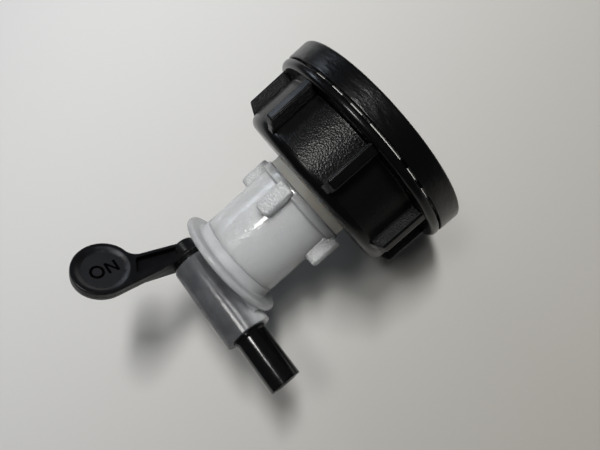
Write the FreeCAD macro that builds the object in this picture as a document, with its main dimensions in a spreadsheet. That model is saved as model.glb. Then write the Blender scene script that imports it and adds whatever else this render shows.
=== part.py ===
"""Screw cap for a jerrycan with a quarter-turn tap on it.

Frame: millimetres, +Z along the cap's thread axis from the mouth to the tap, origin at the
centre of the mouth's rim. The tap's chamber lies along X: its lever end is towards +X and its
spout towards -X. The lever is drawn closed.
"""
import FreeCAD, Part
import os
import re
import Sketcher
from FreeCAD import Placement, Rotation, Vector

# Driving sizes in millimetres and degrees: name, value, what it is

SIZES = [
    ("cap_height", 32.2, "mouth rim to the cap's outer top face"),
    ("top_plate", 2.6, "thickness of the cap's top"),
    ("thread_bore", 30.6, "inside of the cap's wall, for a 61 mm neck"),
    ("cap_wall", 3.0, "cap's wall between the lugs"),
    ("shoulder_round", 3.6, "rounding of the cap's top edge"),
    ("collar_width", 6.4, "collar's edge outside the cap's wall, and the ring's under it"),
    ("collar_height", 3.0, "height of the collar"),
    ("collar_round", 1.6, "rounding of the collar's upper edge"),
    ("collar_foot_round", 0.9, "rounding of the collar's lower edge"),
    ("collar_root_round", 0.7, "fillet from the collar to the cap's wall"),
    ("lug_count", 8, "grip lugs round the cap"),
    ("lug_setback", 1.8, "lug tips inside the collar's edge"),
    ("lug_width", 3.9, "width of a lug"),
    ("lug_drop", 4.9, "lug tip's end below the cap's top face"),
    ("lug_rise", 1.7, "lug's root end below the cap's top face"),
    ("lug_angle", 22.5, "first lug, from +X"),
    ("lug_round", 0.6, "rounding of the lugs' tips"),
    ("relief_step", 3.9, "recess under the collar, wider than the thread bore"),
    ("relief_depth", 0.8, "straight part of the recess"),
    ("relief_cone", 3.8, "cone from the recess to the thread bore"),
    ("boss_radius", 17.4, "threaded boss under the cap's top"),
    ("boss_length", 12.0, "depth of the boss below the top plate"),
    ("tap_thread", 13.2, "bore of the boss, for the barrel's tail"),
    ("ring_height", 7.6, "height of the tamper ring"),
    ("ring_wall", 2.6, "thickness of the tamper ring"),
    ("ring_foot_round", 0.8, "rounding of the ring's mouth edge"),
    ("ring_top_round", 0.5, "rounding of the ring's upper edge"),
    ("catch_depth", 1.5, "inward catch of the tamper ring"),
    ("catch_height", 3.0, "height of the catch"),
    ("slot_gap", 0.8, "slot between tamper ring and collar"),
    ("bridge_count", 28, "bridges left across the slot; one more place is empty"),
    ("bridge_width", 3.4, "width of a bridge"),
    ("bridge_depth", 1.5, "radial depth of a bridge"),
    ("bridge_inset", 0.7, "bridge's outer face inside the ring's"),
    ("bridge_start", -101.3, "first bridge, from +X"),
    ("wad_thickness", 2.2, "sealing wad inside the cap"),
    ("wad_width", 9.3, "width of the flat wad"),
    ("wad_clearance", 0.3, "wad to the cap's wall"),
    ("gasket_thickness", 3.5, "gasket between cap and barrel"),
    ("gasket_width", 3.5, "gasket's edge outside the boss's bore"),
    ("gasket_clearance", 0.2, "gasket's hole to the tail"),
    ("gasket_edge", 0.3, "chamfer of the gasket"),
    ("barrel_length", 30.7, "gasket to the barrel's front end"),
    ("barrel_radius", 16.9, "outside of the barrel"),
    ("barrel_wall", 2.4, "wall of the barrel"),
    ("barrel_edge", 0.3, "chamfer at the barrel's front end"),
    ("step_width", 1.5, "ring round the barrel's rear end, outside the barrel"),
    ("step_height", 3.3, "height of that ring"),
    ("step_round", 0.7, "rounding of that ring"),
    ("tail_length", 17.6, "threaded tail behind the barrel"),
    ("tail_wall", 2.6, "wall of the tail"),
    ("thread_clearance", 0.1, "tail to the boss"),
    ("tab_count", 4, "finger tabs round the barrel"),
    ("tab_height", 4.3, "outer face of a tab outside the barrel"),
    ("tab_width", 5.8, "width of a tab"),
    ("tab_length", 10.0, "length of a tab along the barrel"),
    ("tab_round", 1.4, "rounding of a tab's front corners"),
    ("tab_edge_round", 0.5, "rounding of a tab's outer face"),
    ("spigot_length", 6.0, "tap body's spigot inside the barrel"),
    ("spigot_clearance", 0.1, "spigot to the barrel's bore"),
    ("spigot_wall", 1.8, "wall of the spigot"),
    ("neck_length", 3.7, "tap body's neck in front of the barrel"),
    ("neck_round", 0.6, "fillet from the neck to the flange"),
    ("flange_width", 5.2, "tap body's flange outside the barrel"),
    ("flange_thickness", 2.4, "thickness of the flange"),
    ("flange_round", 1.0, "rounding of the flange's rim"),
    ("front_wall", 2.2, "wall across the tap body's front"),
    ("flange_gap", 1.2, "plug's collar above the flange's front"),
    ("chamber_wall", 2.82, "wall of the chamber"),
    ("chamber_top", 9.5, "chamber's upper end from the cap's axis"),
    ("chamber_bottom", 24.2, "chamber's lower end from the cap's axis"),
    ("chamber_edge", 0.35, "rounding of the chamber's ends"),
    ("web_width", 11.0, "web between chamber and flange"),
    ("web_top", 7.5, "web's upper end from the cap's axis"),
    ("web_bottom", 20.0, "web's lower end on the flange"),
    ("web_lean", 2.6, "how far the web's lower end leans out"),
    ("duct_width", 6.8, "width of the duct and of the plug's port"),
    ("duct_length", 12.4, "length of the duct and of the port"),
    ("duct_centre", 4.0, "duct's centre below the cap's axis"),
    ("plug_radius", 5.95, "outside of the plug and spout"),
    ("plug_clearance", 0.08, "plug to the chamber's bore"),
    ("plug_wall", 1.75, "wall of the spout"),
    ("plug_blind", 4.2, "closed end of the bore above the cap's axis"),
    ("spout_reach", 45.4, "spout's tip from the cap's axis"),
    ("spout_edge", 0.4, "rounding of the spout's tip"),
    ("bead_rise", 0.55, "snap bead under the chamber, outside the plug"),
    ("bead_length", 1.4, "length of the bead"),
    ("end_gap", 0.3, "play at each end of the chamber"),
    ("thrust_width", 2.25, "plug's collar over the chamber's end, outside the plug"),
    ("thrust_height", 2.2, "height of that collar"),
    ("thrust_round", 0.4, "rounding of that collar"),
    ("dog_width", 3.0, "stop dog on the chamber's end"),
    ("dog_setback", 0.65, "dog's inner face outside the plug"),
    ("dog_height", 2.1, "height of the dog above the chamber's end"),
    ("dog_clearance", 0.05, "dog to the ends of the collar's notch"),
    ("core_width", 0.35, "what the notch leaves of the collar, outside the plug"),
    ("groove_width", 1.5, "width of a seal groove"),
    ("groove_depth", 1.1, "depth of a seal groove"),
    ("upper_seal", 6.9, "upper seal above the cap's axis"),
    ("lower_seal", 16.5, "lower seal below the cap's axis"),
    ("seal_section", 0.53, "radius of a seal's section"),
    ("seal_clearance", 0.02, "seal to its groove's floor"),
    ("stub_side", 4.6, "square stub that drives the plug"),
    ("stub_length", 4.4, "length of the stub"),
    ("stub_clearance", 0.05, "stub to the lever's socket"),
    ("socket_floor", 0.2, "socket deeper than the stub"),
    ("lever_angle", 45.0, "closed lever, from +Z towards -Y"),
    ("quarter_turn", 90.0, "swing of the lever from closed to open"),
    ("hub_radius", 4.1, "hub of the lever"),
    ("hub_height", 7.0, "height of the hub"),
    ("hub_round", 0.8, "rounding of the hub's top"),
    ("pad_reach", 30.0, "finger pad's centre from the chamber's axis"),
    ("pad_lift", 9.7, "pad's centre above the hub's foot"),
    ("pad_radius", 10.3, "radius of the finger pad"),
    ("blade_thickness", 4.2, "thickness of arm and pad"),
    ("blade_drop", 0.4, "middle of the blade behind the chamber's axis"),
    ("blade_draft", 3.0, "moulding draft of the blade's edges"),
    ("blade_round", 0.45, "rounding of the blade's faces"),
    ("neck_setback", 8.0, "pad's centre to where the arm's upper edge runs into it"),
    ("neck_lift", 10.4, "arm's upper edge there, above the hub's foot"),
    ("neck_blend", 5.0, "fillet from the arm to the pad"),
    ("pad_rim", 1.4, "flat rim of the pad round its finger dish"),
    ("dish_slope", 1.9, "width of the dish's sloping ring, inside the rim"),
    ("dish_depth", 1.0, "depth of the dish"),
    ("pocket_depth", 2.6, "pocket in the arm's face"),
    ("pocket_border", 2.3, "rib left below the pocket"),
    ("pocket_rim", 1.45, "rib left above the pocket"),
    ("pocket_start", 4.0, "pocket's inner end from the chamber's axis"),
    ("pocket_setback", 8.3, "pad's centre to the pocket's outer end, at its foot"),
    ("pocket_slant", 2.9, "how far the pocket's end slants back at its top"),
    ("pocket_round", 1.0, "corners of the pocket"),
    ("gusset_height", 2.6, "gusset behind the arm, along the chamber's axis"),
    ("gusset_setback", 8.5, "pad's centre to where the gusset starts"),
    ("gusset_inset", 0.8, "gusset's corner inside the plug's collar"),
    ("gusset_reach", 2.4, "gusset's corner from the chamber's axis, along the arm"),
    ("cheek_reach", 13.0, "where the rib below the pocket starts to rise to the hub's front"),
]

# Levels worked out from the driving sizes, as expressions on the sheet

BODY_RADIUS = "(thread_bore + cap_wall)"
COLLAR_RADIUS = "(thread_bore + cap_wall + collar_width)"
LUG_RADIUS = "(thread_bore + cap_wall + collar_width - lug_setback)"
RELIEF_RADIUS = "(thread_bore + relief_step)"
SLOT_TOP = "(ring_height + slot_gap)"
COLLAR_TOP = "(ring_height + slot_gap + collar_height)"
CAP_CEILING = "(cap_height - top_plate)"
BOSS_END = "(cap_height - top_plate - boss_length)"
BARREL_REAR = "(cap_height + gasket_thickness)"
BARREL_FRONT = "(cap_height + gasket_thickness + barrel_length)"
FLANGE_BACK = "(cap_height + gasket_thickness + barrel_length + neck_length)"
FLANGE_FRONT = "(cap_height + gasket_thickness + barrel_length + neck_length + flange_thickness)"
AXIS_HEIGHT = "(" + FLANGE_FRONT + " + flange_gap + plug_radius + thrust_width)"
CHAMBER_BORE = "(plug_radius + plug_clearance)"
CHAMBER_RADIUS = "(plug_radius + plug_clearance + chamber_wall)"
BARREL_BORE = "(barrel_radius - barrel_wall)"
TAIL_RADIUS = "(tap_thread - thread_clearance)"
HUB_FOOT = "(chamber_top + end_gap + thrust_height)"
STEP_RADIUS = "(barrel_radius + step_width)"
FLANGE_RADIUS = "(barrel_radius + flange_width)"
PLUG_BORE = "(plug_radius - plug_wall)"
GROOVE_FLOOR = "(plug_radius - groove_depth)"
BEAD_RADIUS = "(plug_radius + bead_rise)"
THRUST_RADIUS = "(plug_radius + thrust_width)"
NECK_REACH = "(pad_reach - neck_setback)"
POCKET_END = "(pad_reach - pocket_setback)"
BLADE_FRONT = "(blade_thickness / 2 - blade_drop)"
DISH_RADIUS = "(pad_radius - pad_rim)"

NAMES = {name for name, value, note in SIZES}
doc = FreeCAD.newDocument("JerrycanTapCap")
pieces = []


# The sheet and the helpers that bind objects to it

def fill_sheet():
    """Writes one row per driving size and gives its value cell the size's name."""
    page = doc.addObject("Spreadsheet::Sheet", "Sizes")
    for row, (name, value, note) in enumerate(SIZES, start=1):
        page.set("A%d" % row, name)
        page.set("B%d" % row, str(value))
        page.set("C%d" % row, note)
        page.setAlias("B%d" % row, name)
    doc.recompute()
    return page


sheet = fill_sheet()


def size(*names):
    """The sum of the numbers in the sheet's cells of those names."""
    return sum(float(sheet.get(name)) for name in names)


def rule(text):
    """Puts the sheet's name before each size named in an expression."""
    return re.sub(r"[a-z_]+", lambda word: "Sizes." + word.group() if word.group() in NAMES
                  else word.group(), text)


def bind(thing, rules):
    """Binds each property to its expression on the sheet."""
    for prop, text in rules.items():
        thing.setExpression(prop, rule(text))


def finish(piece, name):
    """Names a finished sub-part and puts it on the list that is exported."""
    piece.Label = name
    pieces.append(piece)


def new_body(name, lift="0", axis=Vector(0, 0, 1), turn="0"):
    """A body whose own frame is lifted along Z and turned about one axis."""
    body = doc.addObject("PartDesign::Body", "Body_" + name)
    body.Placement = Placement(Vector(), Rotation(axis, 1))
    bind(body, {"Placement.Base.z": lift, "Placement.Rotation.Angle": turn})
    finish(body, name)
    return body


def new_sketch(body, plane, offset="0", turn="0"):
    """A sketch on one of the body's origin planes, moved along its normal and turned."""
    sketch = body.newObject("Sketcher::SketchObject", "Sketch")
    support = [item for item in body.Origin.OriginFeatures if item.Role == plane + "_Plane"][0]
    sketch.AttachmentSupport = [(support, "")]
    sketch.MapMode = "FlatFace"
    bind(sketch, {"AttachmentOffset.Base.z": offset, "AttachmentOffset.Rotation.Angle": turn})
    return sketch


def pin_point(sketch, shape, end, across, up):
    """Holds one point of a sketch at two distances from the sketch's origin."""
    for kind, text in (("DistanceX", across), ("DistanceY", up)):
        index = sketch.addConstraint(Sketcher.Constraint(kind, -1, 1, shape, end, 1.0))
        sketch.setExpression("Constraints[%d]" % index, rule(text))


def draw_outline(sketch, corners):
    """A closed outline of straight lines through corners given as pairs of expressions."""
    count = len(corners)
    ring = [Vector(10, 0, 0)]
    turn = Rotation(Vector(0, 0, 1), 360.0 / count)
    while len(ring) < count:
        ring.append(turn.multVec(ring[-1]))
    for index in range(count):
        sketch.addGeometry(Part.LineSegment(ring[index], ring[(index + 1) % count]))
    for index in range(count):
        sketch.addConstraint(Sketcher.Constraint("Coincident", index, 2, (index + 1) % count, 1))
    for index, (across, up) in enumerate(corners):
        pin_point(sketch, index, 1, across, up)


def draw_circle(sketch, across, up, radius):
    """A circle with its centre and its radius bound to the sheet."""
    circle = sketch.addGeometry(Part.Circle(Vector(1, 1, 0), Vector(0, 0, 1), 5))
    pin_point(sketch, circle, 3, across, up)
    index = sketch.addConstraint(Sketcher.Constraint("Radius", circle, 5.0))
    sketch.setExpression("Constraints[%d]" % index, rule(radius))


def draw_rectangle(sketch, low, high):
    """A rectangle between two corners given as pairs of expressions."""
    draw_outline(sketch, [low, (high[0], low[1]), high, (low[0], high[1])])


def add_feature(body, kind, sketch, rules=None, **settings):
    """A feature made from a sketch, with its settings and its bound sizes."""
    feature = body.newObject("PartDesign::" + kind, kind)
    feature.Profile = sketch
    for prop, value in settings.items():
        setattr(feature, prop, value)
    bind(feature, rules or {})
    sketch.Visibility = False
    doc.recompute()
    return feature


def revolve(body, sketch, axis, kind="Revolution"):
    """A full turn of a sketch about its own H_Axis or V_Axis."""
    return add_feature(body, kind, sketch, ReferenceAxis=(sketch, [axis]), Angle=360.0)


def polar_copies(body, feature, count, angle="360"):
    """Copies of a feature round the body's Z axis."""
    pattern = body.newObject("PartDesign::PolarPattern", "PolarPattern")
    pattern.Originals = [feature]
    spindle = [item for item in body.Origin.OriginFeatures if item.Role == "Z_Axis"][0]
    pattern.Axis = (spindle, [""])
    bind(pattern, {"Angle": angle, "Occurrences": count})
    body.Tip = pattern
    doc.recompute()
    return pattern


def dress(body, kind, edges, amount):
    """A fillet or a chamfer of one size on the named edges of the body's tip."""
    feature = body.newObject("PartDesign::" + kind, kind)
    feature.Base = (body.Tip if body.Tip != feature else feature.BaseFeature, edges)
    bind(feature, {"Radius" if kind == "Fillet" else "Size": amount})
    body.Tip = feature
    doc.recompute()
    return feature


def edges_where(body, test):
    """Names of the tip's edges, in the body's own frame, that pass a test."""
    shape = body.Tip.Shape
    return ["Edge%d" % index for index, edge in enumerate(shape.Edges, start=1) if test(edge)]


def rims(body, radius, direction="z"):
    """Names of the full circles of one radius about an axis, from the lowest to the highest."""
    found = []
    for index, edge in enumerate(body.Tip.Shape.Edges, start=1):
        curve = edge.Curve
        if isinstance(curve, Part.Circle) and abs(curve.Radius - radius) < 1e-4:
            if abs(getattr(curve.Axis, direction)) > 0.999:
                found.append((getattr(curve.Center, direction), "Edge%d" % index))
    return [name for place, name in sorted(found)]


# Cap: one black moulding with eight lugs, a collar and a threaded boss for the tap

def build_cap():
    cap = new_body("cap_shell", turn="lug_angle")
    section = new_sketch(cap, "XZ")
    draw_outline(section, [
        (RELIEF_RADIUS, SLOT_TOP), (COLLAR_RADIUS, SLOT_TOP), (COLLAR_RADIUS, COLLAR_TOP),
        (BODY_RADIUS, COLLAR_TOP), (BODY_RADIUS, "cap_height"), ("tap_thread", "cap_height"),
        ("tap_thread", BOSS_END), ("boss_radius", BOSS_END), ("boss_radius", CAP_CEILING),
        ("thread_bore", CAP_CEILING),
        ("thread_bore", "(ring_height + slot_gap + relief_depth + relief_cone)"),
        (RELIEF_RADIUS, "(ring_height + slot_gap + relief_depth)")])
    revolve(cap, section, "V_Axis")
    dress(cap, "Fillet", rims(cap, size("thread_bore", "cap_wall"))[-1:], "shoulder_round")
    dress(cap, "Fillet", rims(cap, size("thread_bore", "cap_wall"))[:1], "collar_root_round")
    collar = rims(cap, size("thread_bore", "cap_wall", "collar_width"))
    dress(cap, "Fillet", collar[-1:], "collar_round")
    dress(cap, "Fillet", rims(cap, size("thread_bore", "cap_wall", "collar_width"))[:1], "collar_foot_round")
    lug = new_sketch(cap, "XZ")
    root = "(thread_bore + cap_wall - shoulder_round / 2)"
    draw_outline(lug, [
        (BODY_RADIUS, "(" + COLLAR_TOP + " - collar_round / 2)"),
        (LUG_RADIUS, "(" + COLLAR_TOP + " - collar_round)"),
        (LUG_RADIUS, "(cap_height - lug_drop)"), (root, "(cap_height - lug_rise)")])
    blade = add_feature(cap, "Pad", lug, {"Length": "lug_width"}, SideType="Symmetric")
    polar_copies(cap, blade, "lug_count")
    tip = size("thread_bore", "cap_wall", "collar_width") - size("lug_setback")
    low = size("ring_height", "slot_gap", "collar_height") + 0.5

    def on_tip(edge):
        ends = [vertex.Point for vertex in edge.Vertexes]
        return len(ends) == 2 and all(
            end.z > low and abs((end.x ** 2 + end.y ** 2) ** 0.5 - tip) < 0.2
            for end in ends)
    dress(cap, "Fillet", edges_where(cap, on_tip), "lug_round")


# Tamper ring: hangs under the collar on thin bridges, one of which is gone in the photograph

def build_tamper_ring():
    ring = new_body("tamper_ring", turn="bridge_start")
    section = new_sketch(ring, "XZ")
    inside = "(thread_bore + cap_wall + collar_width - ring_wall)"
    draw_outline(section, [
        (inside, "0"), (COLLAR_RADIUS, "0"), (COLLAR_RADIUS, "ring_height"),
        (inside, "ring_height"), (inside, "(catch_height + catch_depth)"),
        ("(thread_bore + cap_wall + collar_width - ring_wall - catch_depth)", "catch_height")])
    revolve(ring, section, "V_Axis")
    dress(ring, "Fillet", rims(ring, size("thread_bore", "cap_wall", "collar_width"))[:1], "ring_foot_round")
    dress(ring, "Fillet", rims(ring, size("thread_bore", "cap_wall", "collar_width"))[-1:], "ring_top_round")
    foot = new_sketch(ring, "XY", offset="ring_height")
    outer = "(thread_bore + cap_wall + collar_width - bridge_inset)"
    draw_rectangle(foot, ("(thread_bore + cap_wall + collar_width - bridge_inset - bridge_depth)",
                          "(0 - bridge_width / 2)"),
                   (outer, "(bridge_width / 2)"))
    bridge = add_feature(ring, "Pad", foot, {"Length": "slot_gap"})
    polar_copies(ring, bridge, "bridge_count", "(360 / (bridge_count + 1) * (bridge_count - 1))")


# Wad and gasket: two punched rings, made of plain cylinders

def build_washer(name, floor, thickness, radius, bore, edge=None):
    outside = doc.addObject("Part::Cylinder", "Disc_" + name)
    bind(outside, {"Radius": radius, "Height": thickness, "Placement.Base.z": floor})
    inside = doc.addObject("Part::Cylinder", "Hole_" + name)
    bind(inside, {"Radius": bore, "Height": thickness, "Placement.Base.z": floor})
    washer = doc.addObject("Part::Cut", "Washer_" + name)
    washer.Base = outside
    washer.Tool = inside
    doc.recompute()
    if edge:
        trimmed = doc.addObject("Part::Chamfer", "Trimmed_" + name)
        trimmed.Base = washer
        trimmed.Edges = [
            (index, size(edge), size(edge)) for index, rim in enumerate(washer.Shape.Edges, start=1)
            if isinstance(rim.Curve, Part.Circle)]
        doc.recompute()
        washer = trimmed
    finish(washer, name)


# Barrel: milky tube with a threaded tail, a ring at its rear end and four finger tabs

def build_barrel():
    barrel = new_body("barrel", lift=BARREL_REAR)
    section = new_sketch(barrel, "XZ")
    tail_bore = "(tap_thread - thread_clearance - tail_wall)"
    draw_outline(section, [
        (tail_bore, "(0 - tail_length)"), (TAIL_RADIUS, "(0 - tail_length)"), (TAIL_RADIUS, "0"),
        (STEP_RADIUS, "0"), (STEP_RADIUS, "step_height"), ("barrel_radius", "step_height"),
        ("barrel_radius", "barrel_length"), (BARREL_BORE, "barrel_length"),
        (BARREL_BORE, "step_height"), (tail_bore, "(step_height - barrel_wall + 0)")])
    revolve(barrel, section, "V_Axis")
    dress(barrel, "Fillet", rims(barrel, size("barrel_radius", "step_width")), "step_round")
    dress(barrel, "Chamfer", rims(barrel, size("barrel_radius"))[-1:], "barrel_edge")
    face = new_sketch(barrel, "YZ", offset="(barrel_radius - barrel_wall / 2)")
    draw_rectangle(face, ("(0 - tab_width / 2)", "(step_height / 2)"),
                   ("(tab_width / 2)", "(step_height + tab_length)"))
    tab = add_feature(barrel, "Pad", face,
                      {"Length": "(tab_height + barrel_wall / 2)"})
    polar_copies(barrel, tab, "tab_count")
    front = size("step_height") + size("tab_length")
    reach = size("barrel_radius", "tab_height")
    half = size("tab_width") / 2

    def front_corner(edge):
        ends = [vertex.Point for vertex in edge.Vertexes]
        return len(ends) == 2 and all(abs(end.z - front) < 1e-3 for end in ends) and all(
            abs(min(abs(end.x), abs(end.y)) - half) < 1e-3 for end in ends) and any(
            abs(max(abs(end.x), abs(end.y)) - reach) < 1e-3 for end in ends) and (
            ends[0] - ends[1]).Length < reach - size("barrel_radius") + 1.5
    dress(barrel, "Fillet", edges_where(barrel, front_corner), "tab_round")

    def outer_face(edge):
        middle = edge.CenterOfMass
        return abs(max(abs(middle.x), abs(middle.y)) - reach) < 1e-3
    dress(barrel, "Fillet", edges_where(barrel, outer_face), "tab_edge_round")


# Tap body: natural moulding with a spigot, a round-rimmed flange and the plug's chamber

def build_tap_body():
    tap = new_body("tap_body")
    section = new_sketch(tap, "XZ")
    spigot = "(barrel_radius - barrel_wall - spigot_clearance)"
    cavity = "(barrel_radius - barrel_wall - spigot_clearance - spigot_wall)"
    spigot_end = "(" + BARREL_FRONT + " - spigot_length)"
    wall_back = "(" + FLANGE_FRONT + " - front_wall)"
    draw_outline(section, [
        (cavity, spigot_end), (spigot, spigot_end), (spigot, BARREL_FRONT),
        ("barrel_radius", BARREL_FRONT), ("barrel_radius", FLANGE_BACK),
        (FLANGE_RADIUS, FLANGE_BACK), (FLANGE_RADIUS, FLANGE_FRONT), ("0", FLANGE_FRONT),
        ("0", wall_back), (cavity, wall_back)])
    revolve(tap, section, "V_Axis")
    dress(tap, "Fillet", rims(tap, size("barrel_radius", "flange_width")), "flange_round")
    dress(tap, "Fillet", rims(tap, size("barrel_radius"))[-1:], "neck_round")
    dress(tap, "Chamfer", rims(tap, size("barrel_radius"))[:1], "barrel_edge")

    tube = new_sketch(tap, "YZ")
    draw_circle(tube, "0", AXIS_HEIGHT, CHAMBER_RADIUS)
    add_feature(tap, "Pad", tube, {"Length": "chamber_top", "Length2": "chamber_bottom"},
                SideType="Two sides")
    chamber = size("plug_radius", "plug_clearance", "chamber_wall")
    dress(tap, "Fillet", [rims(tap, chamber, "x")[0],
                          rims(tap, chamber, "x")[-1]], "chamber_edge")
    side = new_sketch(tap, "XZ")
    draw_outline(side, [
        ("(0 - web_bottom)", FLANGE_FRONT), ("web_top", FLANGE_FRONT), ("web_top", AXIS_HEIGHT),
        ("(0 - web_bottom - web_lean)", AXIS_HEIGHT)])
    add_feature(tap, "Pad", side, {"Length": "web_width"}, SideType="Symmetric")
    dog = new_sketch(tap, "YZ", offset="(chamber_top - chamber_edge - 1)")
    draw_rectangle(dog, ("(0 - dog_width / 2)", "(" + FLANGE_FRONT + " - flange_thickness / 4)"),
                   ("(dog_width / 2)", "(" + AXIS_HEIGHT + " - plug_radius - dog_setback)"))
    add_feature(tap, "Pad", dog, {"Length": "(dog_height + chamber_edge + 1)"})
    bore = new_sketch(tap, "YZ")
    draw_circle(bore, "0", AXIS_HEIGHT, CHAMBER_BORE)
    add_feature(tap, "Pocket", bore, Type="ThroughAll", SideType="Symmetric")
    duct = new_sketch(tap, "XY", offset=AXIS_HEIGHT)
    draw_rectangle(duct, ("(0 - duct_centre - duct_length / 2)", "(0 - duct_width / 2)"),
                   ("(duct_length / 2 - duct_centre)", "(duct_width / 2)"))
    add_feature(tap, "Pocket", duct, {"Length": "(flange_gap + plug_radius + thrust_width + front_wall)"})


# Plug: glossy black tube whose lower end is the spout, closed at the top, with a side port

def build_plug():
    plug = new_body("plug", lift=AXIS_HEIGHT, axis=Vector(1, 0, 0), turn="quarter_turn")
    section = new_sketch(plug, "XY")
    bead_top = "(0 - chamber_bottom - end_gap)"
    half = "groove_width / 2"
    draw_outline(section, [
        ("(0 - spout_reach)", PLUG_BORE), ("(0 - spout_reach)", "plug_radius"),
        ("(0 - chamber_bottom - end_gap - bead_length)", "plug_radius"),
        ("(0 - chamber_bottom - end_gap - bead_length / 3)", BEAD_RADIUS),
        (bead_top, BEAD_RADIUS), (bead_top, "plug_radius"),
        ("(0 - lower_seal - " + half + ")", "plug_radius"),
        ("(0 - lower_seal - " + half + ")", GROOVE_FLOOR),
        ("(" + half + " - lower_seal)", GROOVE_FLOOR),
        ("(" + half + " - lower_seal)", "plug_radius"),
        ("(upper_seal - " + half + ")", "plug_radius"),
        ("(upper_seal - " + half + ")", GROOVE_FLOOR),
        ("(upper_seal + " + half + ")", GROOVE_FLOOR),
        ("(upper_seal + " + half + ")", "plug_radius"),
        ("(chamber_top + end_gap)", "plug_radius"), ("(chamber_top + end_gap)", THRUST_RADIUS),
        (HUB_FOOT, THRUST_RADIUS), (HUB_FOOT, "0"), ("plug_blind", "0"),
        ("plug_blind", PLUG_BORE)])
    revolve(plug, section, "H_Axis")
    dress(plug, "Fillet", rims(plug, size("plug_radius", "thrust_width"), "x"), "thrust_round")
    dress(plug, "Fillet", rims(plug, size("plug_radius"), "x")[:1], "spout_edge")
    port = new_sketch(plug, "XY")
    draw_rectangle(port, ("(0 - duct_centre - duct_length / 2)", "(0 - duct_width / 2)"),
                   ("(duct_length / 2 - duct_centre)", "(duct_width / 2)"))
    add_feature(plug, "Pocket", port, {"Length": "(plug_radius + 1)"})
    notch = new_sketch(plug, "YZ", offset=HUB_FOOT)
    edge = "(dog_width / 2 + dog_clearance)"
    draw_rectangle(notch, ("(0 - " + THRUST_RADIUS + " - 1)", "(0 - " + THRUST_RADIUS + " - 1)"), (edge, edge))
    add_feature(plug, "Pocket", notch, {"Length": "thrust_height"})
    core = new_sketch(plug, "YZ", offset="(chamber_top + end_gap)")
    draw_circle(core, "0", "0", "(plug_radius + core_width)")
    add_feature(plug, "Pad", core, {"Length": "thrust_height"})
    square = new_sketch(plug, "YZ", offset=HUB_FOOT, turn="(90 + lever_angle - quarter_turn)")
    corner = "stub_side / 2"
    draw_rectangle(square, ("(0 - " + corner + ")", "(0 - " + corner + ")"),
                   ("(" + corner + ")", "(" + corner + ")"))
    add_feature(plug, "Pad", square, {"Length": "stub_length"})


def build_seal(name, place):
    """A rubber ring in one of the plug's grooves."""
    seal = doc.addObject("Part::Torus", "Seal_" + name)
    seal.Placement = Placement(Vector(), Rotation(Vector(0, 1, 0), 90))
    bind(seal, {"Radius1": "(plug_radius - groove_depth + seal_clearance + seal_section)",
                "Radius2": "seal_section", "Placement.Base.x": place,
                "Placement.Base.z": AXIS_HEIGHT})
    finish(seal, name)


# Lever: matt black moulding with a hub, a pocketed arm and a dished finger pad

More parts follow.
